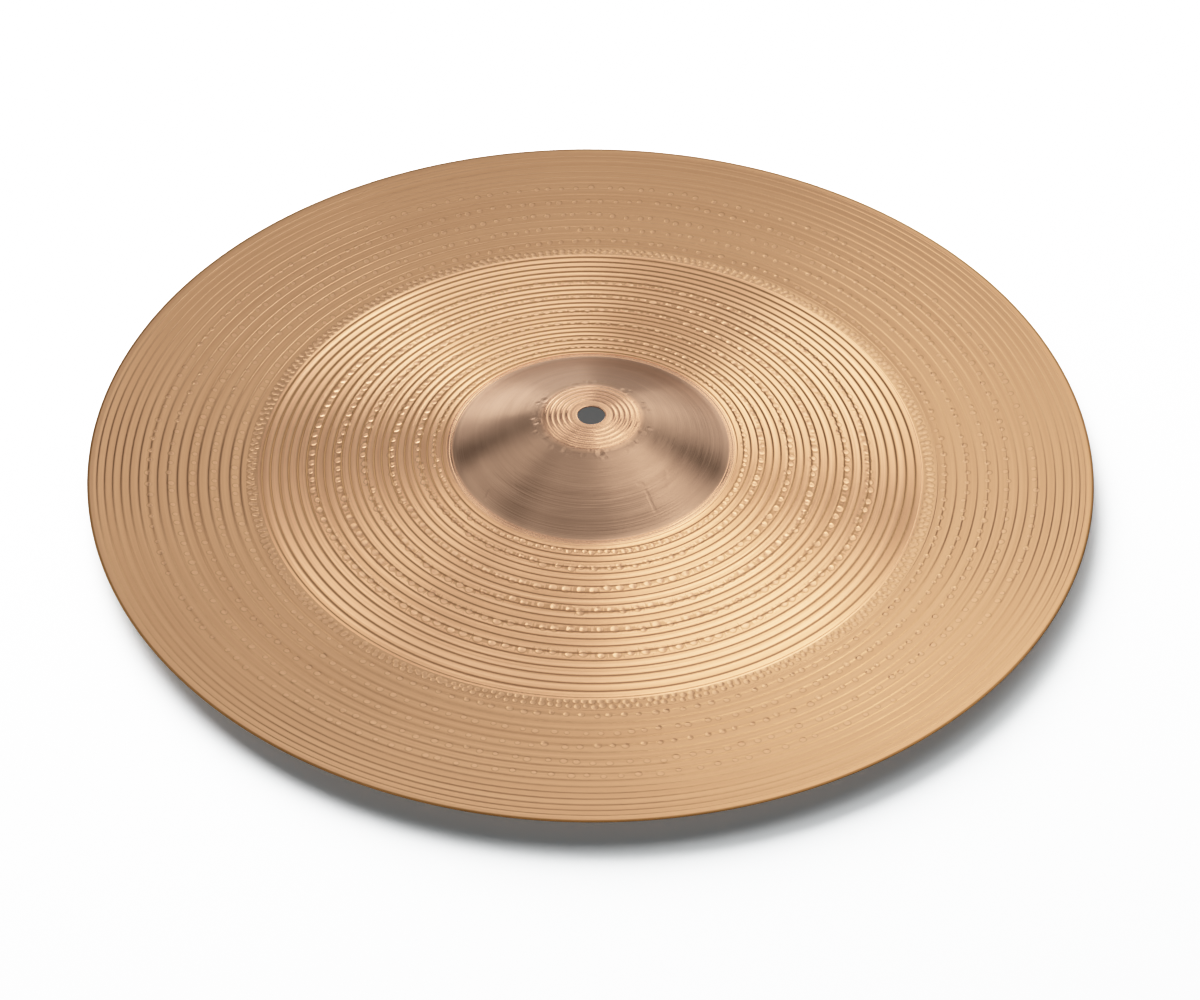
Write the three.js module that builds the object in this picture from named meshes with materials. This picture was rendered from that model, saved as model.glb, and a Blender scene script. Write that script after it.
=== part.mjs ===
// China cymbal, laid bell up: one round sheet of bronze, spun and hammered into
// a domed bell, a bow that falls away from it, a flat crease and a flange that
// turns up again to the rim. It hangs on a post through the hole in its crown.
// Millimetres, +Z up along the axis of the cymbal. The origin is on that axis,
// level with the underside of the crease, which is what the cymbal lies on.

import * as THREE from 'three';

// Driving sizes over the plan, all on the middle of the sheet
const rimDiameter = 457.2; // an 18 inch cymbal
const holeDiameter = 12.7; // half an inch, clears the sleeve of a stand
const landWidth = 3.2; // flat seat round the hole, above and below, for the felts
const crownDiameter = 46; // the nearly level top of the bell ends here
const kneeDiameter = 84; // the flank of the bell grows steeper here
const bellDiameter = 125; // the foot of the bell, where the bow starts
const creaseDiameter = 310.5; // middle of the crease
const creaseWidth = 4.5; // flat ring that the cymbal rests on

// Driving sizes up the axis, from one bend of the sheet to the next
const crownFall = 1; // from the land down to the shoulder
const flankFall = 6.5; // from the shoulder down to the knee
const footFall = 10.7; // from the knee down to the foot of the bell
const bowFall = 7.9; // from the foot of the bell down to the crease
const flangeRise = 10.5; // from the crease up to the rim

// The sheet thins from the bell, which is pressed, to the rim, which is turned
const bellWall = 1.15;
const creaseWall = 0.95;
const rimWall = 0.75;
const lipChamfer = 0.25; // broken edges of the hole

// How far each bend of the sheet is rounded to both sides of its corner
const landBend = 1.6;
const shoulderBend = 7;
const kneeBend = 10;
const footBend = 4.2;
const bowBend = 36;
const flangeBend = 28;
const bendsShare = 0.95; // the most of a side that the bends at its ends take up

// The bow and the flange both hang a little below a straight line
const bowMiddleShare = 0.5; // of the way out from the bell to the crease
const bowHeightShare = 0.4; // of the bow's fall, where the line would have half
const flangeMiddleShare = 0.55; // of the way out from the crease to the rim
const flangeHeightShare = 0.42; // of the flange's rise

// Facets: round the axis, along one bend of the sheet, and round the rim
const facetsRound = 96;
const facetsPerBend = 3;
const facetsPerRim = 4;

const rimRadius = rimDiameter / 2;
const holeRadius = holeDiameter / 2;
const bellRadius = bellDiameter / 2;
const creaseInside = (creaseDiameter - creaseWidth) / 2;
const creaseOutside = (creaseDiameter + creaseWidth) / 2;

// The wall at a radius: even over the bell and over the crease, tapered between
function wallAt(radius) {
  const { clamp, inverseLerp, lerp } = THREE.MathUtils;
  const outOverBow = clamp(inverseLerp(bellRadius, creaseInside, radius), 0, 1);
  const outOverFlange = clamp(inverseLerp(creaseOutside, rimRadius, radius), 0, 1);
  const overBow = lerp(bellWall, creaseWall, outOverBow);
  return lerp(overBow, rimWall, outOverFlange);
}

// A corner of the middle line of the sheet, and how far it is rounded
function corner(radius, height, bend) {
  return { at: new THREE.Vector2(radius, height), bend };
}

// The middle line of the sheet, from the hole out to the centre of the rim
function sheetCorners() {
  const creaseHeight = creaseWall / 2;
  const footHeight = creaseHeight + bowFall;
  const kneeHeight = footHeight + footFall;
  const shoulderHeight = kneeHeight + flankFall;
  const landHeight = shoulderHeight + crownFall;
  const rimCentre = rimRadius - rimWall / 2;
  const bowMiddle = THREE.MathUtils.lerp(bellRadius, creaseInside, bowMiddleShare);
  const flangeMiddle = THREE.MathUtils.lerp(creaseOutside, rimCentre, flangeMiddleShare);
  return [
    corner(holeRadius, landHeight, 0),
    corner(holeRadius + landWidth + landBend, landHeight, landBend),
    corner(crownDiameter / 2, shoulderHeight, shoulderBend),
    corner(kneeDiameter / 2, kneeHeight, kneeBend),
    corner(bellRadius, footHeight, footBend),
    corner(bowMiddle, creaseHeight + bowFall * bowHeightShare, bowBend),
    corner(creaseInside, creaseHeight, 0),
    corner(creaseOutside, creaseHeight, 0),
    corner(flangeMiddle, creaseHeight + flangeRise * flangeHeightShare, flangeBend),
    corner(rimCentre, creaseHeight + flangeRise, 0),
  ];
}

// The point that lies a given distance from one point towards another
function towards(from, to, distance) {
  return to.clone().sub(from).setLength(distance).add(from);
}

// How far a corner is rounded towards its neighbour: its own bend, or less where
// the side between them is too short for the bends at both ends
function reach(own, neighbour) {
  const side = own.at.distanceTo(neighbour.at);
  return Math.min(own.bend, (bendsShare * side * own.bend) / (own.bend + neighbour.bend));
}

// Rounds each corner with a parabola that touches the line on both sides
function roundedLine(corners) {
  const points = [];
  corners.forEach((own, index) => {
    if (own.bend === 0) {
      points.push(own.at);
      return;
    }
    const [before, after] = [corners[index - 1], corners[index + 1]];
    const start = towards(own.at, before.at, reach(own, before));
    const end = towards(own.at, after.at, reach(own, after));
    points.push(...new THREE.QuadraticBezierCurve(start, own.at, end).getPoints(facetsPerBend));
  });
  return points;
}

// Unit vector square to the line from one point to the next, on its upper side
function squareTo(from, to) {
  const along = to.clone().sub(from).normalize();
  return new THREE.Vector2(-along.y, along.x);
}

// Half of the wall at each point of the line, mitred so that both faces of the
// sheet stay parallel to it on either side of a bend
function halfWalls(line) {
  return line.map((point, index) => {
    const before = squareTo(line[Math.max(index - 1, 0)], line[Math.max(index, 1)]);
    const last = line.length - 1;
    const after = squareTo(line[Math.min(index, last - 1)], line[Math.min(index + 1, last)]);
    const mitre = before.clone().add(after).normalize();
    return mitre.multiplyScalar(wallAt(point.x) / 2 / mitre.dot(after));
  });
}

// Half round of the rim, from the underside up to the top
function rimRound(centre, halfWall) {
  const turn = Math.PI / facetsPerRim;
  const points = [];
  for (let step = 1; step < facetsPerRim; step += 1) {
    const spoke = halfWall.clone().negate().rotateAround(new THREE.Vector2(), turn * step);
    points.push(spoke.add(centre));
  }
  return points;
}

// The hole's edge, broken where a face of the sheet would end in a sharp lip
function brokenLip(edge, inward) {
  const onBore = new THREE.Vector2(edge.x, edge.y + inward * lipChamfer);
  const onFace = new THREE.Vector2(edge.x + lipChamfer, edge.y);
  return { onBore, onFace };
}

// Section of the sheet as one closed outline: out along the underside, round
// the rim, in along the top and down the wall of the hole
function sheetSection() {
  const line = roundedLine(sheetCorners());
  const halves = halfWalls(line);
  const underside = line.map((point, index) => point.clone().sub(halves[index]));
  const top = line.map((point, index) => point.clone().add(halves[index]));
  const lowLip = brokenLip(underside.shift(), 1);
  const highLip = brokenLip(top.shift(), -1);
  const rim = rimRound(line[line.length - 1], halves[halves.length - 1]);
  return [
    lowLip.onBore,
    lowLip.onFace,
    ...underside,
    ...rim,
    ...top.reverse(),
    highLip.onFace,
    highLip.onBore,
    lowLip.onBore.clone(),
  ];
}

// The whole cymbal is that section turned once round its axis
function cymbal() {
  const form = new THREE.LatheGeometry(sheetSection(), facetsRound);
  form.rotateX(Math.PI / 2);
  const bronze = new THREE.MeshStandardMaterial({ color: '#c79f78', roughness: 0.32, metalness: 1 });
  const mesh = new THREE.Mesh(form, bronze);
  mesh.name = 'cymbal';
  return mesh;
}

const chinaCymbal = new THREE.Group();
chinaCymbal.add(cymbal());

export default chinaCymbal;
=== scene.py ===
# China cymbal, laid bell up: one round sheet of bronze with a domed bell, a bow
# that falls to a flat crease, and a flange that turns up again to the rim.
# Metres, +Z up along the axis, the origin on it at the level the cymbal lies on.

import bpy
import numpy as np
from mathutils import Matrix, Vector


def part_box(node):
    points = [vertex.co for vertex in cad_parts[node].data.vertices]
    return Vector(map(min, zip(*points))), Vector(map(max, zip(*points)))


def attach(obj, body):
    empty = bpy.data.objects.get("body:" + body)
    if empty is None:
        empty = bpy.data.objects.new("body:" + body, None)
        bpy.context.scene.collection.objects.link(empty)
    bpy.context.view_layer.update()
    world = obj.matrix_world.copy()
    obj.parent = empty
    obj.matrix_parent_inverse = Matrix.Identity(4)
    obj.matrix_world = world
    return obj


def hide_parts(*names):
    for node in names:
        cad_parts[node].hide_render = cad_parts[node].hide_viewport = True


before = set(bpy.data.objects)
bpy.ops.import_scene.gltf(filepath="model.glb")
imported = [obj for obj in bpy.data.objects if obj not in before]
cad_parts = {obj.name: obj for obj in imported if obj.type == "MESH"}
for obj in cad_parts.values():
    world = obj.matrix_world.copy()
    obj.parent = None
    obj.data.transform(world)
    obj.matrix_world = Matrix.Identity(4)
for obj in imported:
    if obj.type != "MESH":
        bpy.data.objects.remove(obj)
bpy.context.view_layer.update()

# The bell
# The middle of the sheet, pressed into a dome. Round the hole its crown is nearly
# level and turned in rings on the lathe; the flank is buffed until it is smooth,
# and a hollow foot leads it into the bow.

MM = 0.001
TURN = 2 * np.pi
frame_high = np.array(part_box("cymbal")[1])
EDGE_CLEARANCE = 0.02 * MM  # keeps the finished sheet inside the frame's box
RIM_RADIUS = frame_high[0] - EDGE_CLEARANCE

HOLE_RADIUS = 6.35 * MM
LAND_RADIUS = 11.15 * MM
CROWN_RADIUS = 23 * MM
KNEE_RADIUS = 42 * MM
BELL_RADIUS = 62.5 * MM
CREASE_INSIDE = 153 * MM
CREASE_OUTSIDE = 157.5 * MM
BELL_WALL = 1.15 * MM
CREASE_WALL = 0.95 * MM
RIM_WALL = 0.75 * MM
CREASE_HEIGHT = CREASE_WALL / 2
FOOT_HEIGHT = CREASE_HEIGHT + 7.9 * MM
KNEE_HEIGHT = FOOT_HEIGHT + 10.7 * MM
SHOULDER_HEIGHT = KNEE_HEIGHT + 6.5 * MM
LAND_HEIGHT = frame_high[2] - EDGE_CLEARANCE - BELL_WALL / 2
BOW_MIDDLE = (BELL_RADIUS + CREASE_INSIDE) / 2
BOW_MIDDLE_HEIGHT = CREASE_HEIGHT + 3.16 * MM
RIM_CENTRE = RIM_RADIUS - RIM_WALL / 2
RIM_HEIGHT = CREASE_HEIGHT + 10.5 * MM
FLANGE_MIDDLE_SHARE = 0.55  # of the way from the crease to the rim
FLANGE_MIDDLE = CREASE_OUTSIDE + FLANGE_MIDDLE_SHARE * (RIM_CENTRE - CREASE_OUTSIDE)
FLANGE_MIDDLE_HEIGHT = CREASE_HEIGHT + 4.41 * MM

# Corners of the middle of the sheet: radius, height, and how far it is rounded
SHEET_CORNERS = np.array([
    (HOLE_RADIUS, LAND_HEIGHT, 0),
    (LAND_RADIUS, LAND_HEIGHT, 1.6 * MM),
    (CROWN_RADIUS, SHOULDER_HEIGHT, 7 * MM),
    (KNEE_RADIUS, KNEE_HEIGHT, 10 * MM),
    (BELL_RADIUS, FOOT_HEIGHT, 2.6 * MM),
    (BOW_MIDDLE, BOW_MIDDLE_HEIGHT, 36 * MM),
    (CREASE_INSIDE, CREASE_HEIGHT, 1.8 * MM),
    (CREASE_OUTSIDE, CREASE_HEIGHT, 1.8 * MM),
    (FLANGE_MIDDLE, FLANGE_MIDDLE_HEIGHT, 28 * MM),
    (RIM_CENTRE, RIM_HEIGHT, 0),
])
STEPS_PER_BEND = 40


def middle_of_sheet(corners):
    """Radius and height along the middle of the sheet. A corner becomes the parabola
    (1-t)^2 start + 2t(1-t) corner + t^2 end, whose start and end lie on the two sides,
    each a bend's length from the corner."""
    t = np.linspace(0, 1, STEPS_PER_BEND)[:, None]
    stretches = []
    for index, (*place, bend) in enumerate(corners):
        own = np.array(place)
        if bend == 0:
            stretches.append(own[None])
            continue
        before = corners[index - 1, :2] - own
        after = corners[index + 1, :2] - own
        start = own + before * bend / np.linalg.norm(before)
        end = own + after * bend / np.linalg.norm(after)
        stretches.append((1 - t) ** 2 * start + 2 * t * (1 - t) * own + t**2 * end)
    return np.concatenate(stretches)


def faces_of_sheet(line):
    """The top and the underside of the sheet: its middle moved half a wall along the
    unit vector square to it, (-dz, dr), up and down."""
    walls = np.interp(
        line[:, 0],
        (BELL_RADIUS, CREASE_INSIDE, CREASE_OUTSIDE, RIM_CENTRE),
        (BELL_WALL, CREASE_WALL, CREASE_WALL, RIM_WALL),
    )
    along = np.gradient(line, axis=0)
    square = np.stack([-along[:, 1], along[:, 0]], 1)
    square *= (walls / 2 / np.linalg.norm(square, axis=1))[:, None]
    return line + square, line - square


sheet_line = middle_of_sheet(SHEET_CORNERS)
top_line, under_line = faces_of_sheet(sheet_line)


def top_of_sheet(radius):
    """Height of the upper face at a radius, before any tool mark."""
    return np.interp(radius, *top_line.T)


def under_sheet(radius):
    """Height of the lower face at a radius, before any tool mark."""
    return np.interp(radius, *under_line.T)


def between(low, high, value):
    """0 below low, 1 above high, and in between 3x^2 - 2x^3 of the share x."""
    share = np.clip((value - low) / (high - low), 0, 1)
    return share * share * (3 - 2 * share)


def ripple(angle, seed, orders, size):
    """A smooth unevenness round the axis: a sum of cosines, one for each order, with
    chances for their phases and sizes; about as large as size."""
    chance = np.random.default_rng(seed)
    phases = chance.uniform(0, TURN, len(orders))
    sizes = chance.normal(0, size / np.sqrt(len(orders) / 2), len(orders))
    return sum(s * np.cos(n * angle + p) for n, p, s in zip(orders, phases, sizes))


# A dent lies off its place round the ring by this share of the free room at most, and
# off the ring by a drift that follows the ring and a spread of its own
DENT_FREEDOM = 0.75
DENT_DRIFT = 0.5 * MM
DENT_DRIFT_ORDERS = (2, 3, 5, 7, 11)
DENT_SPREAD = 0.38 * MM
DENT_WIDTHS = (0.8, 1.12)
DENT_FORCES = (0.45, 1.15)


def hammer_marks(radius, angle, ring, spacing, width, seed):
    """One round of hammering, with one dent to each spacing round its ring. Gives, for
    each point, how far round and how far out it lies from the middle of the nearest
    dent, in halves of that dent's width, and the force of that dent, near 1."""
    chance = np.random.default_rng(seed)
    count = int(TURN * ring / spacing)
    slack = max(0.5 - width / spacing / 2, 0) * DENT_FREEDOM
    angle = np.mod(angle, TURN)
    index = np.minimum((angle / TURN * count).astype(int), count - 1)
    middle = (np.arange(count) + 0.5 + chance.uniform(-slack, slack, count)) * TURN / count
    drift = ripple(middle, seed + 1, DENT_DRIFT_ORDERS, DENT_DRIFT)
    place = ring + drift + chance.normal(0, DENT_SPREAD, count)
    half = width / 2 * chance.uniform(*DENT_WIDTHS, count)
    force = chance.uniform(*DENT_FORCES, count)
    off_round = (angle - middle[index]) * ring
    off_out = radius - place[index]
    return off_round / half[index], off_out / half[index], force[index]


FAR_FROM_DENTS = 4
DENT_REACH = 4 * MM
# Lip that a blow throws up round its dent: its height over the depth, and where it
# lies and how far it spreads in q^2
LIP_SHARE = 0.2
LIP_PLACE = 1.3
LIP_SPREAD = 0.2


def hammering(radius, angle, rounds, seed):
    """All the rounds of hammering of a piece, each with its ring, spacing, width and
    depth. With q the distance from a dent's middle over half its width, the height left
    is depth times force times the sum of the bowl, -(1 - q^2)^2, and the lip round it,
    a fifth of exp(-(q^2 - 1.3)^2 / 0.2). Also gives the place from the nearest dent:
    round, out, and q^2, which is FAR_FROM_DENTS at most."""
    height = np.zeros(radius.shape)
    dent = np.zeros((*radius.shape, 3))
    dent[..., 2] = FAR_FROM_DENTS
    for number, (ring, spacing, width, depth) in enumerate(rounds):
        near = np.abs(radius - ring) < DENT_REACH
        off_round, off_out, force = hammer_marks(
            radius[near], angle[near], ring, spacing, width, seed + 3 * number
        )
        square = off_round**2 + off_out**2
        bowl = np.clip(1 - square, 0, None) ** 2
        lip = LIP_SHARE * np.exp(-((square - LIP_PLACE) ** 2) / LIP_SPREAD)
        height[near] -= depth * force * (bowl - lip)
        found = np.stack([off_round, off_out, square], -1)
        dent[near] = np.where(square[:, None] < dent[near][:, 2:], found, dent[near])
    return height, dent


SHARP_EDGE = np.radians(38)


def mesh_piece(name, corners, quads, quad_map, caps=(), cap_maps=(), **marks):
    """A mesh object of four-cornered faces and a few larger caps. quad_map holds a
    place on the unrolled picture for each corner, and marks are values or vectors per
    point."""
    mesh = bpy.data.meshes.new(name)
    loops = np.concatenate([quads.ravel(), *caps]).astype(np.int32)
    sizes = np.concatenate([np.full(len(quads), 4), [len(cap) for cap in caps]]).astype(np.int32)
    mesh.vertices.add(len(corners))
    mesh.vertices.foreach_set("co", corners.astype(np.float32).ravel())
    mesh.loops.add(len(loops))
    mesh.loops.foreach_set("vertex_index", loops)
    mesh.polygons.add(len(sizes))
    mesh.polygons.foreach_set("loop_start", (np.cumsum(sizes) - sizes).astype(np.int32))
    mesh.update(calc_edges=True)
    unrolled = mesh.uv_layers.new(name="OFBake")
    places = np.concatenate([quad_map.reshape(-1, 2), *cap_maps])
    unrolled.data.foreach_set("uv", places.astype(np.float32).ravel())
    for mark, values in marks.items():
        one_each = values.size == len(corners)
        kept = mesh.attributes.new(mark, "FLOAT" if one_each else "FLOAT_VECTOR", "POINT")
        kept.data.foreach_set(
            "value" if one_each else "vector", values.astype(np.float32).ravel()
        )
    mesh.shade_smooth()
    mesh.set_sharp_from_angle(angle=SHARP_EDGE)
    piece = bpy.data.objects.new(name, mesh)
    bpy.context.scene.collection.objects.link(piece)
    return piece


def ring_piece(name, radius, height, angle, **marks):
    """A closed ring. radius and height have a row for each angle round the axis and a
    column for each point round the section: out over the top, in along the underside.
    Its picture is unrolled: the angle across, the way round the section upwards."""
    columns, rows = radius.shape
    corners = np.stack(
        [radius * np.cos(angle)[:, None], radius * np.sin(angle)[:, None], height], -1
    ).reshape(-1, 3)
    column, row = (n.ravel() for n in np.indices((columns, rows)))
    steps = ((0, 0), (0, 1), (1, 1), (1, 0))
    quads = np.stack(
        [(column + c) % columns * rows + (row + r) % rows for c, r in steps], 1
    )
    quad_map = np.stack(
        [np.stack([(column + c) / columns, (row + r) / rows], 1) for c, r in steps], 1
    )
    return mesh_piece(name, corners, quads, quad_map, **marks)


BOW_START = 66 * MM  # where the spiral groove of the bow sets in
LIP = 0.25 * MM
BELL_COLUMNS = 540
FIRST_RING = 10.8 * MM
RING_PITCH = 2.45 * MM
RING_HEIGHT = 0.13 * MM
RING_SHARPNESS = 0.25
# Where the rings set in, grow weaker and run out, and by what share they grow weaker
RINGS_SET_IN = (8.2 * MM, 10.5 * MM)
RINGS_WEAKEN = (19 * MM, 22 * MM)
RINGS_RUN_OUT = (24 * MM, 27 * MM)
RINGS_LOSS = 0.65
FOOT_RING = 64 * MM
FOOT_RING_HEIGHT = 0.09 * MM
FOOT_RING_PITCH = 1.25 * MM
FOOT_RINGS_SET_IN = (63.1 * MM, 63.7 * MM)
FOOT_RINGS_RUN_OUT = (65.3 * MM, 65.9 * MM)
# Unevenness of the flank: where it sets in and runs out, its orders and its sizes. The
# slanting one turns by one radian in that many millimetres outwards
FLANK_SETS_IN = (23 * MM, 34 * MM)
FLANK_RUNS_OUT = (50 * MM, 60 * MM)
BROAD_ORDERS = (3, 4, 6, 9, 14, 19)
BROAD_SIZE = 0.05 * MM
SLANTING_ORDERS = (5, 8, 13, 21)
SLANTING_SIZE = 0.02 * MM
SLANT = 9 * MM
# Scratches on the flank, in millimetres and degrees: radius and angle at one end, then
# at the other, and the depth
SCRATCHES = (
    (47.0, -58.0, 56.0, -59.0, 0.2),
    (43.6, -57.5, 43.0, -60.5, 0.2),
    (44.0, -39.5, 46.5, -43.0, 0.12),
    (48.5, -43.5, 51.0, -47.0, 0.12),
    (57.5, -142.5, 60.5, -140.5, 0.2),
    (43.0, -144.0, 51.0, -131.0, 0.08),
)
SCRATCH_WIDTH = 0.8 * MM
BROAD_SEED, SLANTING_SEED, NICKS_SEED = 7, 8, 40
# Ring of each round of nicks at the shoulder, space between them, width and depth
CROWN_NICKS = np.array([
    (24.6, 14.0, 4.4, 0.30),
    (26.6, 9.7, 3.0, 0.16),
    (22.8, 4.9, 2.0, 0.08),
]) * MM

# Stretches of the rows of points: the radius where each ends, and the space in it,
# which is less than nothing where the rows run inwards
BELL_TOP_ROWS = np.array([(27, 0.35), (57, 0.75), (62.6, 0.5), (65.9, 0.2)]) * MM
BELL_UNDER_ROWS = np.array([(57, -1.1), (27, -2.4), (6.6, -1.6)]) * MM


def rows_of_points(start, stretches, end):
    """Radii from start to end, evenly spaced in each stretch."""
    rows = []
    for stretch_end, space in stretches:
        rows.append(np.arange(start, stretch_end, space))
        start = stretch_end
    return np.append(np.concatenate(rows), end)


bell_angle = np.arange(BELL_COLUMNS) * TURN / BELL_COLUMNS
bell_top_rows = rows_of_points(HOLE_RADIUS + LIP, BELL_TOP_ROWS, BOW_START)
bell_under_rows = rows_of_points(BOW_START, BELL_UNDER_ROWS, HOLE_RADIUS + LIP)


def crown_rings(radius):
    """What the tool leaves on the crown: rings whose height is a cosine of the radius,
    a little sharper at the crest, which fade at the land and past the shoulder."""
    turn = TURN * (radius - FIRST_RING) / RING_PITCH
    sharper = np.cos(turn) + RING_SHARPNESS * np.cos(2 * turn)
    fading = 1 - RINGS_LOSS * between(*RINGS_WEAKEN, radius)
    window = between(*RINGS_SET_IN, radius) * (1 - between(*RINGS_RUN_OUT, radius))
    return RING_HEIGHT * sharper * fading * window


def foot_rings(radius):
    """Two beads that the tool leaves where the foot runs out into the bow: a cosine of
    the radius between two smooth ends."""
    window = between(*FOOT_RINGS_SET_IN, radius) * (1 - between(*FOOT_RINGS_RUN_OUT, radius))
    return FOOT_RING_HEIGHT * np.cos(TURN * (radius - FOOT_RING) / FOOT_RING_PITCH) * window


def scratches(radius, angle):
    """Height that the scratches leave: less the depth times exp(-d^2), where d is the
    distance from the line between a scratch's ends, in widths of a scratch."""
    height = np.zeros(np.broadcast_shapes(radius.shape, angle.shape))
    across, up = radius * np.cos(angle), radius * np.sin(angle)
    for near, near_angle, far, far_angle, depth in SCRATCHES:
        ends = np.array([near, far]) * MM
        turns = np.radians((near_angle, far_angle))
        (x0, x1), (y0, y1) = ends * np.cos(turns), ends * np.sin(turns)
        length2 = (x1 - x0) ** 2 + (y1 - y0) ** 2
        along = ((across - x0) * (x1 - x0) + (up - y0) * (y1 - y0)) / length2
        along = np.clip(along, 0, 1)
        gap2 = (across - x0 - along * (x1 - x0)) ** 2 + (up - y0 - along * (y1 - y0)) ** 2
        height -= depth * MM * np.exp(-gap2 / (SCRATCH_WIDTH / 2) ** 2)
    return height


def bell_top(radius, angle):
    """The sheet's own height, the rings, the nicks at the shoulder, the scratches, the
    beads of the foot, and a slight unevenness of the flank that bends what it mirrors."""
    height = top_of_sheet(radius) + crown_rings(radius) - RING_HEIGHT
    height += hammering(radius, angle + 0 * radius, CROWN_NICKS, NICKS_SEED)[0]
    height += scratches(radius, angle) + foot_rings(radius)
    on_flank = between(*FLANK_SETS_IN, radius) * (1 - between(*FLANK_RUNS_OUT, radius))
    broad = ripple(angle, BROAD_SEED, BROAD_ORDERS, BROAD_SIZE)
    slant = angle + radius / SLANT
    slanting = ripple(slant, SLANTING_SEED, SLANTING_ORDERS, SLANTING_SIZE)
    return height + (broad + slanting) * on_flank


round_the_bell = bell_angle[:, None]
bell_top_radius = np.broadcast_to(bell_top_rows, (BELL_COLUMNS, len(bell_top_rows)))
bell_under_radius = np.broadcast_to(bell_under_rows, (BELL_COLUMNS, len(bell_under_rows)))
bore = np.full((BELL_COLUMNS, 2), HOLE_RADIUS)
bore_height = np.broadcast_to(
    (LAND_HEIGHT - BELL_WALL / 2 + LIP, LAND_HEIGHT + BELL_WALL / 2 - LIP), bore.shape
)
bell = ring_piece(
    "bell",
    np.concatenate([bell_top_radius, bell_under_radius, bore], 1),
    np.concatenate([
        bell_top(bell_top_radius, round_the_bell),
        under_sheet(bell_under_radius),
        bore_height,
    ], 1),
    bell_angle,
)
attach(bell, "root")
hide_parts("cymbal")


def add_node(tree, kind, **settings):
    """A node of that kind, with the given settings and inputs. An input is named with
    in_ before its place in the list, and takes a value or another node's output."""
    node = tree.nodes.new(kind)
    for key, value in settings.items():
        if not key.startswith("in_"):
            setattr(node, key, value)
            continue
        socket = node.inputs[int(key[3:])]
        if isinstance(value, bpy.types.NodeSocket):
            tree.links.new(value, socket)
        else:
            socket.default_value = value
    return node


def reckoned(tree, operation, first, second=0.0):
    """A number worked out from one or two others."""
    return add_node(
        tree, "ShaderNodeMath", operation=operation, in_0=first, in_1=second
    ).outputs[0]


def outward(tree, place):
    """Direction from the axis to each point, which is square to the lathe lines. The
    metal scatters light far more this way than along the lines."""
    return add_node(
        tree, "ShaderNodeVectorMath", operation="MULTIPLY", in_0=place, in_1=(1, 1, 0)
    ).outputs[0]


def distance_out(tree, place):
    """Distance of each point from the axis."""
    return add_node(
        tree, "ShaderNodeVectorMath", operation="LENGTH", in_0=outward(tree, place)
    ).outputs["Value"]


def empty_group(name, inputs, outputs):
    """A node group with those sockets, each with its kind, and the places in it where
    its inputs come in and its outputs go out."""
    group = bpy.data.node_groups.new(name, "ShaderNodeTree")
    for way, sockets in (("INPUT", inputs), ("OUTPUT", outputs)):
        for socket, kind in sockets.items():
            group.interface.new_socket(socket, in_out=way, socket_type=f"NodeSocket{kind}")
    came_in = group.nodes.new("NodeGroupInput").outputs
    goes_out = group.nodes.new("NodeGroupOutput").inputs
    return group, came_in, goes_out


BAND_SHARE = 0.2  # bands of tone to a lathe line
LINE_DETAIL = 3


def lathe_lines_group():
    """Fine lines round the axis. The pattern is noise read at (radius, direction): far
    along the radius and hardly along the direction, so that it draws out into rings."""
    group, came_in, goes_out = empty_group(
        "lathe_lines",
        {"Place": "Vector", "Lines per metre": "Float", "Wander": "Float"},
        {"Height": "Float", "Bands": "Float"},
    )
    out = distance_out(group, came_in["Place"])
    way = add_node(
        group, "ShaderNodeVectorMath", operation="NORMALIZE",
        in_0=outward(group, came_in["Place"]),
    ).outputs[0]
    round_the_axis = add_node(
        group, "ShaderNodeVectorMath", operation="SCALE", in_0=way, in_3=came_in["Wander"]
    ).outputs[0]
    for name, share in (("Height", 1), ("Bands", BAND_SHARE)):
        counted = reckoned(group, "MULTIPLY", came_in["Lines per metre"], share)
        lines = reckoned(group, "MULTIPLY", out, counted)
        upright = add_node(group, "ShaderNodeCombineXYZ", in_2=lines)
        both = add_node(
            group, "ShaderNodeVectorMath", operation="ADD",
            in_0=round_the_axis, in_1=upright.outputs[0],
        )
        noise = add_node(group, "ShaderNodeTexNoise", in_0=both.outputs[0])
        noise.inputs["Scale"].default_value = 1
        noise.inputs["Detail"].default_value = LINE_DETAIL
        group.links.new(noise.outputs["Fac"], goes_out[name])
    return group


lathe_lines = lathe_lines_group()


def mixed_colour(tree, share, low, high):
    """Colour between two others by a share, which is a value or an output."""
    mix = add_node(tree, "ShaderNodeMix", data_type="RGBA")
    for place, value in ((0, share), (6, low), (7, high)):
        if isinstance(value, bpy.types.NodeSocket):
            tree.links.new(value, mix.inputs[place])
        else:
            mix.inputs[place].default_value = value
    return mix.outputs[2]


def ranged(tree, value, low, high, to_low=0.0, to_high=1.0):
    """A value carried from one range to another, and held at its ends."""
    return add_node(
        tree, "ShaderNodeMapRange", interpolation_type="SMOOTHSTEP",
        in_0=value, in_1=low, in_2=high, in_3=to_low, in_4=to_high,
    ).outputs[0]


CROWN_PALE = (0.86, 0.53, 0.355, 1)
CROWN_DEEP = (0.66, 0.40, 0.265, 1)
ROSE_BRONZE = (0.53, 0.355, 0.255, 1)
BROWN_BRONZE = (0.39, 0.255, 0.18, 1)
# Radii between which the crown's finish passes into the flank's, and the flank's ends
CROWN_TO_FLANK = (20.5 * MM, 25 * MM)
FLANK_TO_BOW = (62.6 * MM, 64.2 * MM)
LINE_WANDER = 0.5  # how far the fine lines change on their way round
BELL_LINES = 1500  # to a metre
BELL_LINE_DEPTH = 0.12 * MM
CROWN_LINE_SHARE = 0.4  # of that depth, on the crown
CROWN_ROUGHNESS = 0.24
FLANK_ROUGHNESS = 0.34
BELL_ANISOTROPY = 0.75


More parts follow.
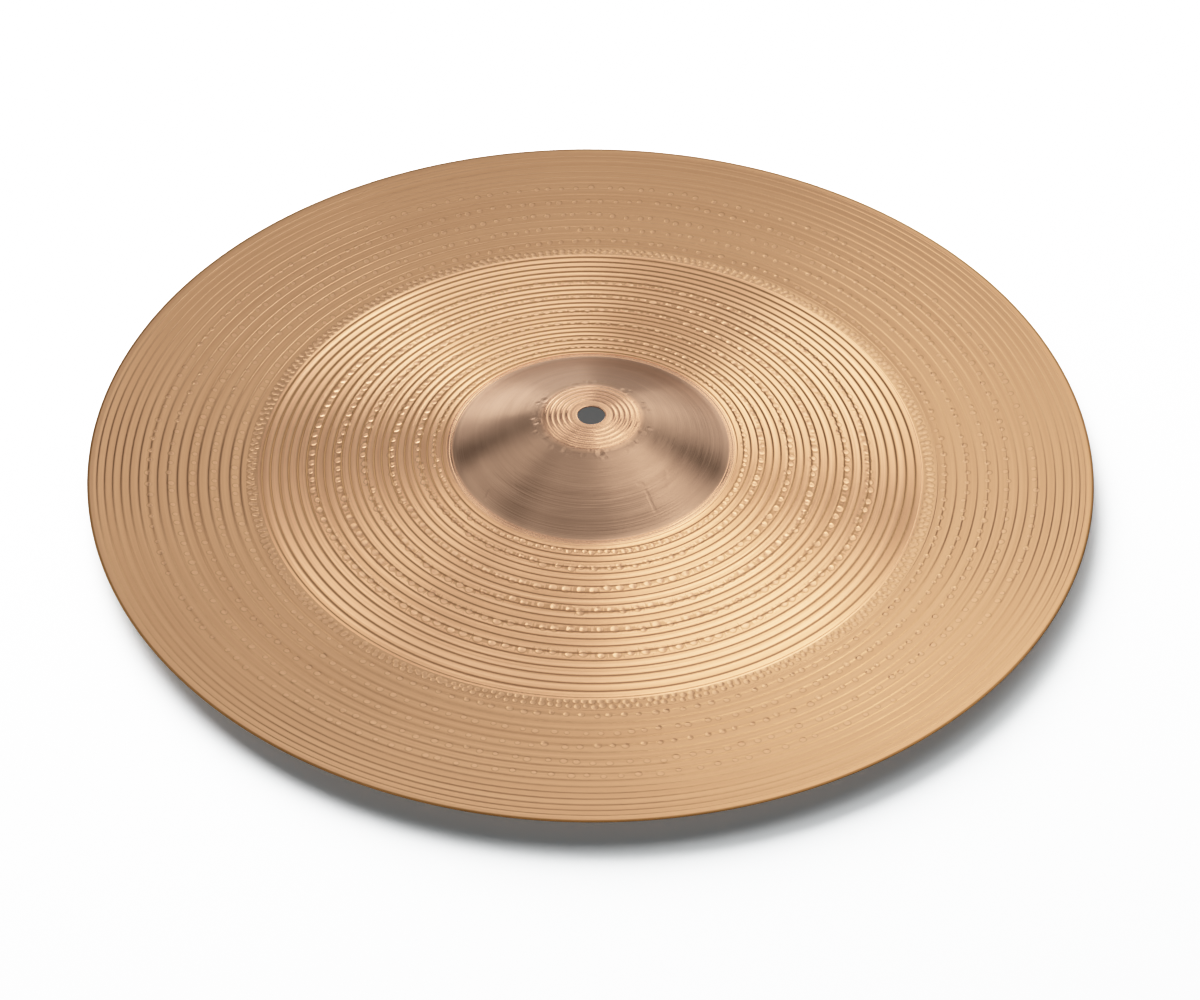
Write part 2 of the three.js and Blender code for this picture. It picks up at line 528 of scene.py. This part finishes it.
def bell_bronze_material():
    """Gold where the crown is turned, rose brown where the flank is buffed, by radius."""
    material = bpy.data.materials.new("bell_bronze")
    material.use_nodes = True
    tree = material.node_tree
    shader = tree.nodes["Principled BSDF"]
    place = add_node(tree, "ShaderNodeTexCoord").outputs["Object"]
    fine = add_node(
        tree, "ShaderNodeGroup", node_tree=lathe_lines,
        in_0=place, in_1=BELL_LINES, in_2=LINE_WANDER,
    )
    radius = distance_out(tree, place)
    past_crown = ranged(tree, radius, *CROWN_TO_FLANK)
    past_flank = ranged(tree, radius, *FLANK_TO_BOW)
    buffed = reckoned(tree, "SUBTRACT", past_crown, past_flank)
    gold = mixed_colour(tree, fine.outputs["Bands"], CROWN_DEEP, CROWN_PALE)
    rose = mixed_colour(tree, fine.outputs["Bands"], BROWN_BRONZE, ROSE_BRONZE)
    tree.links.new(mixed_colour(tree, buffed, gold, rose), shader.inputs["Base Color"])
    rough = ranged(tree, buffed, 0, 1, CROWN_ROUGHNESS, FLANK_ROUGHNESS)
    tree.links.new(rough, shader.inputs["Roughness"])
    bump = add_node(tree, "ShaderNodeBump")
    bump.inputs["Strength"].default_value = 1
    bump.inputs["Distance"].default_value = BELL_LINE_DEPTH
    share = ranged(tree, buffed, 0, 1, CROWN_LINE_SHARE, 1)
    lines = reckoned(tree, "MULTIPLY", fine.outputs["Height"], share)
    tree.links.new(lines, bump.inputs["Height"])
    tree.links.new(bump.outputs[0], shader.inputs["Normal"])
    tree.links.new(outward(tree, place), shader.inputs["Tangent"])
    shader.inputs["Metallic"].default_value = 1
    shader.inputs["Anisotropic"].default_value = BELL_ANISOTROPY
    return material


bell.data.materials.append(bell_bronze_material())

# The bow
# The wide middle of the sheet, which falls from the bell to the crease. It is
# hammered in rounds, and then one groove is turned in it from the bell outwards,
# a spiral of 23 turns. It is made here in five lengths of that spiral.

BOW_END = 152.6 * MM
BOW_TURNS = 23
BOW_COLUMNS = 1240
BOW_LENGTHS = 5
BOW_GROOVE = 0.38 * MM
BOW_PHASE = 0.3  # where round the axis the spiral's turns are counted from, in turns
# Width of a turn at a few radii
BOW_PITCHES = ((BOW_START, 3.3 * MM), (95 * MM, 3.5 * MM), (152 * MM, 4.3 * MM))
# Ring of each round of hammering, space between its dents, their width and depth
BOW_HAMMERING = np.array([
    (70.9, 3.5, 2.4, 0.07),
    (79.0, 5.6, 3.1, 0.07),
    (91.5, 6.0, 3.4, 0.08),
    (103.5, 6.2, 3.5, 0.08),
    (115.8, 6.4, 3.5, 0.08),
    (128.0, 6.6, 3.6, 0.08),
]) * MM
HAMMER_SEED = 100
# Where the rows of points lie between one edge of a turn and the next
TOP_ROWS = np.array([0, 0.16, 0.30, 0.41, 0.455, 0.5, 0.545, 0.59, 0.70, 0.84])
UNDER_ROWS = np.array([0, 0.38, 0.62])
STEP_START, STEP_END = 0.41, 0.59
FULL_WIDTH = 3.4 * MM  # of a turn whose groove has its full depth
# The dark line in the groove is painted shade, and the cut is rougher there
LINE_WIDTH = 0.15  # of the dark line in the groove, as a share of the turn
WIGGLE = 7  # how far a dent draws the groove inwards, in depths of the dent
# The groove and the dents of the underside have these shares of the depth on the top
UNDER_GROOVE = 0.6
UNDER_DENTS = 0.3
# Heights on the unrolled picture: the top, the underside, the walls along both edges
# and the walls at both ends
TOP_FROM, TOP_TALL = 0.002, 0.62
UNDER_FROM, UNDER_TALL = 0.63, 0.32
WALL_HIGH, WALL_LOW, WALL_APART = 0.985, 0.98, 0.008
END_AT, END_TALL = 0.992, 0.004
EDGE_STEPS = 4000


def spiral_edge(inner, outer, turns, pitches):
    """Radius of the edge of each turn, as a function of the turns run. The turns run
    at a radius are the sum of dr / pitch, scaled to come out whole at the outer end."""
    radius = np.linspace(inner, outer, EDGE_STEPS)
    pitch = np.interp(radius, *zip(*pitches))
    run = np.concatenate([[0], np.cumsum(np.diff(radius) / (pitch[1:] + pitch[:-1]))])
    run *= turns / run[-1]
    return lambda turn: np.interp(turn, run, radius)


def groove(share, fullness, depth):
    """Height of a turn across its width: it falls evenly by depth, and climbs back in
    one smooth step near its middle. A depth below nothing turns that over. fullness is
    the turn's width over a full turn's."""
    return depth * fullness * (between(STEP_START, STEP_END, share) - share)


def spiral_surface(edge, turn, columns, phase, depth, rounds, rows, face, cut, struck):
    """Points of the top or the underside of a length, at each of the turns run. A point
    lies at turn v and share s: radius edge(v) (1-s) + edge(v+1) s, angle v turns and the
    phase. The last row of a turn is the first of the next, so only the last turn has
    points of its own there. Also gives how deep in the groove each point lies, and its
    place from the nearest dent."""
    own = len(turn) - columns
    share = np.concatenate([np.tile(rows, own), np.zeros(columns)])
    own_turn = np.concatenate([np.repeat(turn[:own], len(rows)), turn[own:]])
    inside, outside = edge(own_turn), edge(own_turn + 1)
    radius = inside * (1 - share) + outside * share
    angle = (own_turn + phase) * TURN
    fullness = np.clip((outside - inside) / FULL_WIDTH, 0, 1)
    dents, dent = hammering(radius, angle, rounds, HAMMER_SEED)
    height = face(radius) + cut * groove(share, fullness, depth) + struck * dents
    if face is top_of_sheet:
        radius = radius + WIGGLE * dents
    corners = np.stack([radius * np.cos(angle), radius * np.sin(angle), height], 1)
    in_groove = np.exp(-(((share - 0.5) / LINE_WIDTH) ** 2)) * fullness
    return corners, in_groove, dent


def spiral_index(count, columns, rows):
    """Numbers of those points, with a row for each step along the spiral and a column
    for each place across the turn, from its inner edge to its outer one."""
    index = np.empty((count + 1, rows + 1), np.int64)
    index[:, :-1] = np.arange((count + 1) * rows).reshape(count + 1, -1)
    index[:count + 1 - columns, -1] = index[columns:, 0]
    index[count + 1 - columns:, -1] = (count + 1) * rows + np.arange(columns)
    return index


def quads_between(index):
    """The quads between those points."""
    return np.stack(
        [index[:-1, :-1], index[:-1, 1:], index[1:, 1:], index[1:, :-1]], -1
    ).reshape(-1, 4)


def spiral_map(count, columns, turns, rows, start, height):
    """Places of those quads on the unrolled picture: the part of a turn across, and the
    turns upwards from start, in a band of that height."""
    column = np.repeat(np.arange(count), len(rows))
    across = column % columns / columns
    low = np.tile(rows, count)
    high = np.tile(np.append(rows[1:], 1), count)
    tall = height / (turns + 1)
    near, far = column / columns, (column + 1) / columns
    return np.stack([
        np.stack([across, start + (near + low) * tall], 1),
        np.stack([across, start + (near + high) * tall], 1),
        np.stack([across + 1 / columns, start + (far + high) * tall], 1),
        np.stack([across + 1 / columns, start + (far + low) * tall], 1),
    ], 1)


def spiral_length(name, edge, first, last, columns, phase, depth, rounds):
    """One length of the spiral, from turn first to turn last: its top, its underside,
    and walls that close it along its inner and outer edge and at both ends."""
    count = round((last - first) * columns)
    turn = first + np.arange(count + 1 + columns) / columns
    spiral = (edge, turn, columns, phase, depth, rounds)
    top, top_groove, top_dent = spiral_surface(*spiral, TOP_ROWS, top_of_sheet, 1, 1)
    under, under_groove, under_dent = spiral_surface(
        *spiral, UNDER_ROWS, under_sheet, -UNDER_GROOVE, UNDER_DENTS
    )
    top_index = spiral_index(count, columns, len(TOP_ROWS))
    under_index = spiral_index(count, columns, len(UNDER_ROWS)) + len(top)

    inner_top, inner_under = top_index[:columns + 1, 0], under_index[:columns + 1, 0]
    outer_top, outer_under = top_index[-columns - 1:, -1], under_index[-columns - 1:, -1]
    inner_wall = np.stack(
        [inner_top[:-1], inner_top[1:], inner_under[1:], inner_under[:-1]], 1
    )
    outer_wall = np.stack(
        [outer_top[1:], outer_top[:-1], outer_under[:-1], outer_under[1:]], 1
    )
    start_cap = np.concatenate([under_index[0], top_index[0][::-1]])
    end_cap = np.concatenate([top_index[-1], under_index[-1][::-1]])
    wall_map = np.zeros((columns, 4, 2))
    wall_map[:, :, 0] = (np.arange(columns)[:, None] + np.array([0, 1, 1, 0])) / columns
    wall_map[:, :, 1] = (WALL_HIGH, WALL_HIGH, WALL_LOW, WALL_LOW)
    spread = np.linspace(0, 1, len(start_cap))
    cap_map = np.stack([spread, END_AT + END_TALL * np.sin(TURN * spread)], 1)
    turns = last - first
    under_map = spiral_map(count, columns, turns, UNDER_ROWS, UNDER_FROM, UNDER_TALL)
    return mesh_piece(
        name,
        np.concatenate([top, under]),
        np.concatenate([
            quads_between(top_index),
            quads_between(under_index)[:, ::-1],
            inner_wall,
            outer_wall,
        ]),
        np.concatenate([
            spiral_map(count, columns, turns, TOP_ROWS, TOP_FROM, TOP_TALL),
            under_map[:, ::-1],
            wall_map,
            wall_map + (0, WALL_APART),
        ]),
        (start_cap, end_cap),
        (cap_map, cap_map),
        groove=np.concatenate([top_groove, under_groove]),
        dent=np.concatenate([top_dent, under_dent]),
    )


def spiral_pieces(name, edge, turns, lengths, columns, phase, depth, rounds, material):
    """The whole spiral in equal lengths. It starts and ends a column short of where its
    width is nothing."""
    ends = np.round(np.linspace(-1, turns, lengths + 1) * columns) / columns
    ends[0] += 1 / columns
    ends[-1] -= 1 / columns
    for number, (first, last) in enumerate(zip(ends[:-1], ends[1:]), 1):
        piece = spiral_length(
            f"{name}_{number}", edge, first, last, columns, phase, depth, rounds
        )
        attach(piece, "root")
        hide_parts("cymbal")
        piece.data.materials.append(material)


PALE_BRONZE = (1.0, 0.605, 0.385, 1)
DEEP_BRONZE = (0.86, 0.51, 0.315, 1)
# Painted shade, for the groove, round the dents, between them and at the rim's edge
PAINTED_SHADE_BRONZE = (0.36, 0.212, 0.11, 1)
# Painted highlight in the middle of a dent
DENT_HIGHLIGHT_BRONZE = (0.95, 0.62, 0.42, 1)
# Painted shade along the rim's edge
RIM_SHADE_BRONZE = (0.33, 0.18, 0.075, 1)
BLOW_DEPTH = 0.06 * MM  # of the sharp print that the hammer's face leaves in a dent
# Where two dents meet, the place from the nearest one passes through nothing on its way
# from one point of the mesh to the next. There q^2, less this slack, holds instead
PRINT_SLACK = 0.2
# Bounds in q^2 of the painted highlight in the middle of a dent, of the ring of painted
# shade that sets in and runs out round it, of the painted shade on the metal between two
# dents, and of the rise of the print
MIDDLE_ENDS = (0.4, 0.8)
RING_SETS_IN = (0.7, 1.05)
RING_RUNS_OUT = (1.1, 1.8)
GAP_SETS_IN = (0.95, 1.5)
GAP_RUNS_OUT = (3, 3.8)
PRINT_RISE = (0.2, 1.15)
# How far off the ring of dents, in halves of a dent's width, the painted shade on one
# side of a dent grows, and how far off it the painted shade between two dents reaches
SHADED_SIDE = (-0.7, 0.8)
GAP_SIDE = (0.35, 0.95)
MIDDLE_HIGHLIGHT = 0.2
RING_SHADE = 0.45
LEAST_SHADE = 0.25
LINE_TONES = (0.35, 0.65)
# Painted shade darkens the sheet towards the rim's edge, between these radii
EDGE_SHADE = (RIM_RADIUS - 1.4 * MM, RIM_RADIUS - 0.6 * MM)
TURNED_LINES = 900  # to a metre


def marks_and_shade_group():
    """Bronze as the lathe and the hammer leave it, with painted light and shade. The tone
    changes from line to line, and painted shade darkens the groove. Each dent has a sharp
    print with a painted highlight in its middle and painted shade round its edge, heavier
    on its outer side, where the distance squared from its middle, in halves of its width,
    is 1. Painted shade also darkens the metal between two dents of a round, and the
    rim's edge."""
    group, came_in, goes_out = empty_group(
        "marks_and_shade",
        {
            "Place": "Vector", "Lines": "Float", "Groove": "Float", "Dent": "Vector",
            "Deep": "Color", "Pale": "Color", "Groove shade": "Float", "Gap shade": "Float",
            "Line height": "Float",
        },
        {"Color": "Color", "Height": "Float"},
    )
    _, off_out, nearest = add_node(
        group, "ShaderNodeSeparateXYZ", in_0=came_in["Dent"]
    ).outputs
    sideways = outward(group, came_in["Dent"])
    square = add_node(
        group, "ShaderNodeVectorMath", operation="DOT_PRODUCT", in_0=sideways, in_1=sideways
    ).outputs["Value"]
    square = reckoned(group, "MAXIMUM", square, reckoned(group, "SUBTRACT", nearest, PRINT_SLACK))

    tone = ranged(group, came_in["Lines"], *LINE_TONES)
    colour = mixed_colour(group, tone, came_in["Deep"], came_in["Pale"])
    # Painted shade in the groove
    shade = ranged(group, came_in["Groove"], 0, 1, 0, came_in["Groove shade"])
    colour = mixed_colour(group, shade, colour, PAINTED_SHADE_BRONZE)
    # A painted highlight in the middle of each dent
    middle = ranged(group, square, *MIDDLE_ENDS, MIDDLE_HIGHLIGHT, 0)
    colour = mixed_colour(group, middle, colour, DENT_HIGHLIGHT_BRONZE)
    # Painted shade round the edge of each dent, heavier on its outer side
    ring = reckoned(
        group, "MULTIPLY",
        ranged(group, square, *RING_SETS_IN, 0, RING_SHADE),
        ranged(group, square, *RING_RUNS_OUT, 1, 0),
    )
    one_side = ranged(group, off_out, *SHADED_SIDE, LEAST_SHADE, 1)
    colour = mixed_colour(group, reckoned(group, "MULTIPLY", ring, one_side), colour, PAINTED_SHADE_BRONZE)
    # Painted shade on the metal between two dents of a round
    aside = reckoned(group, "ABSOLUTE", off_out)
    gap = reckoned(
        group, "MULTIPLY",
        ranged(group, aside, *GAP_SIDE, came_in["Gap shade"], 0),
        ranged(group, square, *GAP_SETS_IN),
    )
    gap = reckoned(group, "MULTIPLY", gap, ranged(group, square, *GAP_RUNS_OUT, 1, 0))
    colour = mixed_colour(group, gap, colour, PAINTED_SHADE_BRONZE)
    # Painted shade along the rim's edge
    on_edge = ranged(group, distance_out(group, came_in["Place"]), *EDGE_SHADE)
    group.links.new(mixed_colour(group, on_edge, colour, RIM_SHADE_BRONZE), goes_out["Color"])

    lines = reckoned(group, "MULTIPLY", came_in["Lines"], came_in["Line height"])
    height = reckoned(group, "ADD", lines, ranged(group, square, *PRINT_RISE))
    group.links.new(height, goes_out["Height"])
    return group


marks_and_shade = marks_and_shade_group()


def turned_bronze_material(
    name, tones, roughness, cut_roughness, anisotropy, line_depth, groove_shade, gap_shade
):
    """Turned and hammered bronze, with its two tones, its roughness on the land and in
    the groove, the depth of its fine lines, and how much painted shade darkens its groove
    and the metal between its dents."""
    material = bpy.data.materials.new(name)
    material.use_nodes = True
    tree = material.node_tree
    shader = tree.nodes["Principled BSDF"]
    place = add_node(tree, "ShaderNodeTexCoord").outputs["Object"]
    groove_here = add_node(tree, "ShaderNodeAttribute", attribute_name="groove").outputs["Fac"]
    dent_here = add_node(tree, "ShaderNodeAttribute", attribute_name="dent").outputs["Vector"]
    fine = add_node(
        tree, "ShaderNodeGroup", node_tree=lathe_lines,
        in_0=place, in_1=TURNED_LINES, in_2=LINE_WANDER,
    )
    marks = add_node(
        tree, "ShaderNodeGroup", node_tree=marks_and_shade,
        in_0=place, in_1=fine.outputs["Height"], in_2=groove_here, in_3=dent_here,
        in_4=tones[0], in_5=tones[1], in_6=groove_shade, in_7=gap_shade,
        in_8=line_depth / BLOW_DEPTH,
    )
    tree.links.new(marks.outputs["Color"], shader.inputs["Base Color"])
    rough = ranged(tree, groove_here, 0, 1, roughness, cut_roughness)
    tree.links.new(rough, shader.inputs["Roughness"])
    bump = add_node(tree, "ShaderNodeBump")
    bump.inputs["Strength"].default_value = 1
    bump.inputs["Distance"].default_value = BLOW_DEPTH
    tree.links.new(marks.outputs["Height"], bump.inputs["Height"])
    tree.links.new(bump.outputs[0], shader.inputs["Normal"])
    tree.links.new(outward(tree, place), shader.inputs["Tangent"])
    shader.inputs["Metallic"].default_value = 1
    shader.inputs["Anisotropic"].default_value = anisotropy
    return material


turned_bronze = turned_bronze_material(
    "turned_bronze", (DEEP_BRONZE, PALE_BRONZE), roughness=0.30, cut_roughness=0.28,
    anisotropy=0.6, line_depth=0.12 * MM, groove_shade=1, gap_shade=0.45,
)
bow_edge = spiral_edge(BOW_START, BOW_END, BOW_TURNS, BOW_PITCHES)
spiral_pieces(
    "bow", bow_edge, BOW_TURNS, BOW_LENGTHS, BOW_COLUMNS, BOW_PHASE, BOW_GROOVE,
    BOW_HAMMERING, turned_bronze,
)

# The crease
# The ring between bow and flange where the sheet is bent the other way, and which
# the cymbal lies on. It is struck all round with the hammer, blow beside blow.

CREASE_END = 158.1 * MM
CREASE_COLUMNS = 2300
CREASE_ROWS = 15
CREASE_UNDER_ROWS = 5
CREASE_FADE = 0.6 * MM  # over which the dents run out at its two edges
CREASE_HAMMERING = np.array([
    (154.2, 3.5, 2.8, 0.10),
    (156.4, 3.7, 2.8, 0.10),
]) * MM
CREASE_SEED = 300

crease_angle = np.arange(CREASE_COLUMNS) * TURN / CREASE_COLUMNS
crease_top = np.broadcast_to(
    np.linspace(BOW_END, CREASE_END, CREASE_ROWS), (CREASE_COLUMNS, CREASE_ROWS)
)
crease_under = np.broadcast_to(
    np.linspace(CREASE_END, BOW_END, CREASE_UNDER_ROWS), (CREASE_COLUMNS, CREASE_UNDER_ROWS)
)
crease_dents, crease_dent = hammering(
    crease_top, crease_angle[:, None] + 0 * crease_top, CREASE_HAMMERING, CREASE_SEED
)
crease_dents *= between(BOW_END, BOW_END + CREASE_FADE, crease_top)
crease_dents *= 1 - between(CREASE_END - CREASE_FADE, CREASE_END, crease_top)
crease = ring_piece(
    "crease",
    np.concatenate([crease_top, crease_under], 1),
    np.concatenate([top_of_sheet(crease_top) + crease_dents, under_sheet(crease_under)], 1),
    crease_angle,
    groove=np.concatenate([crease_top * 0, crease_under * 0], 1),
    dent=np.concatenate([
        crease_dent, np.broadcast_to((0, 0, FAR_FROM_DENTS), (*crease_under.shape, 3)),
    ], 1),
)
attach(crease, "root")
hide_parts("cymbal")

SATIN_PALE = (0.69, 0.425, 0.26, 1)
SATIN_DEEP = (0.645, 0.39, 0.235, 1)

satin_bronze = turned_bronze_material(
    "satin_bronze", (SATIN_DEEP, SATIN_PALE), roughness=0.32, cut_roughness=0.28,
    anisotropy=0.6, line_depth=0.03 * MM, groove_shade=0.2, gap_shade=0,
)
crease.data.materials.append(satin_bronze)

# The flange
# The outer ring, which turns up from the crease to the rim. Its inner part is
# hammered in five rounds, and all of it is grooved with a spiral of 16 turns, wide at
# the crease and closer towards the rim.

FLANGE_END = 225.9 * MM
FLANGE_TURNS = 16
FLANGE_COLUMNS = 1860
FLANGE_LENGTHS = 5
FLANGE_GROOVE = -0.35 * MM
FLANGE_PHASE = 0.5
FLANGE_PITCHES = (
    (158 * MM, 4.65 * MM), (175 * MM, 4.6 * MM), (200 * MM, 4.1 * MM), (225 * MM, 3.2 * MM),
)
FLANGE_HAMMERING = np.array([
    (162.5, 6.2, 2.8, 0.09),
    (172.5, 6.4, 2.8, 0.09),
    (181.5, 6.6, 2.9, 0.10),
    (191.5, 6.8, 2.9, 0.10),
    (201.0, 7.6, 2.8, 0.09),
]) * MM

flange_edge = spiral_edge(CREASE_END, FLANGE_END, FLANGE_TURNS, FLANGE_PITCHES)
spiral_pieces(
    "flange", flange_edge, FLANGE_TURNS, FLANGE_LENGTHS, FLANGE_COLUMNS, FLANGE_PHASE,
    FLANGE_GROOVE, FLANGE_HAMMERING, satin_bronze,
)

# The rim
# The last three millimetres of the sheet are left smooth, and its edge is turned
# half round with a file while the cymbal spins.

RIM_COLUMNS = 1560
RIM_TOP_ROWS = 7
RIM_ROUND_ROWS = 7
RIM_UNDER_ROWS = 4

rim_angle = np.arange(RIM_COLUMNS) * TURN / RIM_COLUMNS
rim_slope = np.arctan2(*(top_line[-1] - top_line[-2])[::-1])
rim_round = rim_slope + np.linspace(np.pi / 2, -np.pi / 2, RIM_ROUND_ROWS)
rim_out = np.linspace(FLANGE_END, top_line[-1, 0], RIM_TOP_ROWS)
rim_in = np.linspace(under_line[-1, 0], FLANGE_END, RIM_UNDER_ROWS)
rim_section = np.concatenate([
    np.stack([rim_out, top_of_sheet(rim_out)], 1)[:-1],
    sheet_line[-1] + RIM_WALL / 2 * np.stack([np.cos(rim_round), np.sin(rim_round)], 1),
    np.stack([rim_in, under_sheet(rim_in)], 1)[1:],
])
rim_shape = np.broadcast_to(rim_section, (RIM_COLUMNS, *rim_section.shape))
rim = ring_piece(
    "rim", rim_shape[..., 0], rim_shape[..., 1], rim_angle,
    groove=rim_shape[..., 0] * 0,
    dent=np.broadcast_to((0, 0, FAR_FROM_DENTS), (*rim_shape.shape[:2], 3)),
)
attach(rim, "root")
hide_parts("cymbal")
rim.data.materials.append(satin_bronze)

# The studio
# A pale floor under the cymbal, soft lights behind it, overhead and in front, a faint
# even surround, and the camera.

FLOOR_SIZE = 8
FLOOR_CLEARANCE = 0.05 * MM
FLOOR_WHITE = (0.9, 0.9, 0.9, 1)
FLOOR_ROUGHNESS = 0.9
FLOOR_GLOSS = 0.1
# A faint cool glow, which keeps the shadow neutral over the warm light off the bronze
FLOOR_GLOW = (0.79, 0.935, 1, 1)
FLOOR_GLOW_STRENGTH = 0.15

floor_mesh = bpy.data.meshes.new("floor")
floor_corners = np.array([(-1, -1, 0), (1, -1, 0), (1, 1, 0), (-1, 1, 0)]) * FLOOR_SIZE / 2
floor_mesh.from_pydata(floor_corners - (0, 0, FLOOR_CLEARANCE), [], [(0, 1, 2, 3)])
floor = bpy.data.objects.new("floor", floor_mesh)
bpy.context.scene.collection.objects.link(floor)
floor_paint = bpy.data.materials.new("floor_paint")
floor_paint.use_nodes = True
floor_shader = floor_paint.node_tree.nodes["Principled BSDF"]
floor_shader.inputs["Base Color"].default_value = FLOOR_WHITE
floor_shader.inputs["Roughness"].default_value = FLOOR_ROUGHNESS
floor_shader.inputs["Specular IOR Level"].default_value = FLOOR_GLOSS
floor_shader.inputs["Emission Color"].default_value = FLOOR_GLOW
floor_shader.inputs["Emission Strength"].default_value = FLOOR_GLOW_STRENGTH
floor_mesh.materials.append(floor_paint)


def soft_light(name, azimuth, elevation, distance, size, radiance):
    """A square light that faces the middle of the cymbal. The azimuth runs from +X
    towards +Y, and both angles are in degrees. Its power is the radiance times pi times
    its area."""
    lamp = bpy.data.lights.new(name, "AREA")
    lamp.shape = "SQUARE"
    lamp.size = size
    lamp.energy = radiance * np.pi * size**2
    stand = bpy.data.objects.new(name, lamp)
    round_axis, up = np.radians(azimuth), np.radians(elevation)
    level_share = np.cos(up)
    away = Vector((level_share * np.cos(round_axis), level_share * np.sin(round_axis), np.sin(up)))
    stand.location = away * distance
    stand.rotation_euler = away.to_track_quat("Z", "Y").to_euler()
    lamp.cycles.max_bounces = 1
    bpy.context.scene.collection.objects.link(stand)
    return stand


# Name, azimuth, elevation, distance, size and radiance of each light
BACK_LIGHTS = (
    ("right", 15, 46, 0.8, 0.4, 1.73),
    ("overhead_right", 15, 70, 0.8, 0.4, 1.7),
    ("low_right", 60, 22, 1.3, 0.7, 1.25),
    ("upper_right", 60, 58, 0.8, 0.4, 1.18),
    ("far_behind", 75, 10, 2.2, 1.2, 0.37),
    ("behind", 75, 34, 0.8, 0.4, 0.69),
    ("middle_behind", 90, 34, 2.2, 1.2, 0.32),
    ("upper_behind", 90, 46, 0.8, 0.4, 0.4),
    ("low_behind", 105, 10, 1.3, 0.7, 1.66),
    ("low_behind_left", 120, 10, 0.8, 0.4, 1.3),
    ("behind_left", 135, 46, 0.8, 0.4, 0.7),
    ("upper_left", 150, 58, 0.8, 0.4, 0.91),
    ("overhead", 150, 84, 0.8, 0.4, 1.26),
    ("low_left", 165, 22, 0.8, 0.4, 1.45),
)
# The floor has lights of its own, so that it is white and the cymbal keeps its tone
FLOOR_LIGHTS = (
    ("floor_light", 116, 29, 2.2, 2.2, 16),
    ("floor_overhead", 116, 62, 2.2, 1.6, 2.8),
)
# Lights in front, for views from the other sides. They leave the floor out, so that
# the shadow stays
FRONT_LIGHTS = (
    ("front_low_left", 198, 18, 1.3, 0.7, 1.3),
    ("front_left", 235, 16, 1.3, 0.7, 1.2),
    ("front", 270, 16, 1.3, 0.7, 1.2),
    ("front_right", 305, 16, 1.3, 0.7, 1.2),
    ("front_low_right", 342, 18, 1.3, 0.7, 1.3),
    ("front_upper_left", 225, 46, 0.8, 0.4, 0.9),
    ("front_upper", 270, 46, 0.8, 0.4, 0.9),
    ("front_upper_right", 315, 46, 0.8, 0.4, 0.9),
)

for back_light in BACK_LIGHTS:
    soft_light(*back_light)

floor_alone = bpy.data.collections.new("floor_alone")
floor_alone.objects.link(floor)
for floor_light in FLOOR_LIGHTS:
    lamp_stand = soft_light(*floor_light)
    lamp_stand.data.cycles.max_bounces = 0
    lamp_stand.light_linking.receiver_collection = floor_alone

floor_apart = bpy.data.collections.new("floor_apart")
floor_apart.objects.link(floor)
floor_apart.collection_objects[0].light_linking.link_state = "EXCLUDE"
for front_light in FRONT_LIGHTS:
    soft_light(*front_light).light_linking.receiver_collection = floor_apart

SURROUND_STRENGTH = 0.05

surround = bpy.data.worlds.new("surround")
surround.use_nodes = True
surround_light = surround.node_tree.nodes["Background"]
surround_light.inputs["Color"].default_value = (1, 1, 1, 1)
surround_light.inputs["Strength"].default_value = SURROUND_STRENGTH
bpy.context.scene.world = surround

# The picture answers to light x as film does: 1 - exp(-1.35 x^1.4), so that bright
# parts turn pale
FILM_SPEED = 1.35
FILM_CONTRAST = 1.4
FILM_WHITE = 6
FILM_STEPS = (0.05, 0.1, 0.2, 0.3, 0.45, 0.6, 0.8, 1, 1.25, 1.6, 2, 2.6, 3.6)
picture = bpy.context.scene.view_settings
picture.view_transform = "Standard"
picture.use_curve_mapping = True
picture.curve_mapping.white_level = (FILM_WHITE,) * 3
film_curve = picture.curve_mapping.curves[3]  # the one for all three colours
for light in FILM_STEPS:
    film_curve.points.new(light / FILM_WHITE, 1 - np.exp(-FILM_SPEED * light**FILM_CONTRAST))
picture.curve_mapping.update()

CAMERA_DISTANCE = 1.2543
CAMERA_ELEVATION = np.radians(42.69)
CAMERA_ROLL = np.radians(0.515)
AIM = Vector((4.35 * MM, -27.7 * MM, 0))
LENS = 82.99
SENSOR = 36

camera_data = bpy.data.cameras.new("camera")
camera_data.lens = LENS
camera_data.sensor_width = SENSOR
camera = bpy.data.objects.new("camera", camera_data)
back = Vector((0, -np.cos(CAMERA_ELEVATION), np.sin(CAMERA_ELEVATION)))
level = Vector((1, 0, 0))
upright = back.cross(level)
right = level * np.cos(CAMERA_ROLL) + upright * np.sin(CAMERA_ROLL)
above = back.cross(right)
camera.matrix_world = Matrix.Translation(AIM + back * CAMERA_DISTANCE) @ Matrix(
    (right, above, back)
).transposed().to_4x4()
bpy.context.scene.collection.objects.link(camera)
bpy.context.scene.camera = camera
